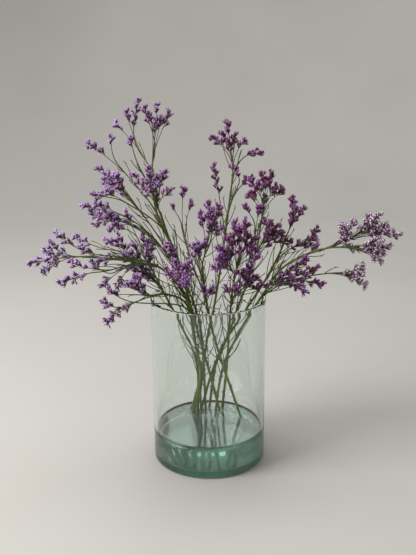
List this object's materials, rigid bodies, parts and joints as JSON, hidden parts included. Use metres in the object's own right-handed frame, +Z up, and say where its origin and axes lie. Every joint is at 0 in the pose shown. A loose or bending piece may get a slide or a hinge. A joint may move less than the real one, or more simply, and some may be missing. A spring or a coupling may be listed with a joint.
{
  "type": "statice in a glass vase",
  "caption": "Sprays of violet statice on thin branching green stems, standing in a straight clear glass cylinder vase with a little water.",
  "frame": {"origin": "middle of the vase's flat underside", "axes": "+Z up along the vase's axis, -Y towards the front that was seen, +X to the viewer's right"},
  "size_m": [0.4723, 0.2401, 0.4772],
  "materials": {
    "vase_glass": "clear, smooth, faint green tint of recycled glass",
    "water": "clear and still",
    "stem": "dull olive to mid green, wiry",
    "florets_left": "papery, matte, light bluish violet",
    "florets_right": "papery, matte, darker purple to magenta"
  },
  "bodies": {
    "root": {"vase": "vase_glass", "water": "water", "stem_01": "stem", "stem_02": "stem", "stem_03": "stem", "stem_04": "stem", "stem_05": "stem", "stem_06": "stem", "stem_07": "stem", "stem_08": "stem", "stem_09": "stem", "stem_10": "stem", "stem_11": "stem", "stem_12": "stem", "head_01a": "florets_left", "head_01b": "florets_left", "head_01c": "florets_left", "head_01d": "florets_left", "head_02a": "florets_left", "head_02b": "florets_left", "head_02c": "florets_left", "head_02d": "florets_left", "head_03a": "florets_left", "head_03b": "florets_left", "head_03c": "florets_left", "head_03d": "florets_left", "head_03e": "florets_left", "head_04a": "florets_left", "head_04b": "florets_left", "head_04c": "florets_left", "head_04d": "florets_left", "head_04e": "florets_left", "head_05a": "florets_left", "head_05b": "florets_left", "head_05c": "florets_left", "head_06a": "florets_left", "head_06b": "florets_left", "head_06c": "florets_right", "head_07a": "florets_right", "head_07b": "florets_left", "head_07c": "florets_right", "head_08a": "florets_right", "head_08b": "florets_right", "head_08c": "florets_right", "head_08d": "florets_right", "head_09a": "florets_right", "head_09b": "florets_right", "head_09c": "florets_right", "head_10a": "florets_right", "head_10b": "florets_right", "head_10c": "florets_right", "head_10d": "florets_right", "head_11a": "florets_right", "head_11b": "florets_right", "head_12a": "florets_right", "head_12b": "florets_right", "head_12c": "florets_right", "head_12d": "florets_right", "head_12e": "florets_right", "head_12f": "florets_right"}
  },
  "joints": []
}
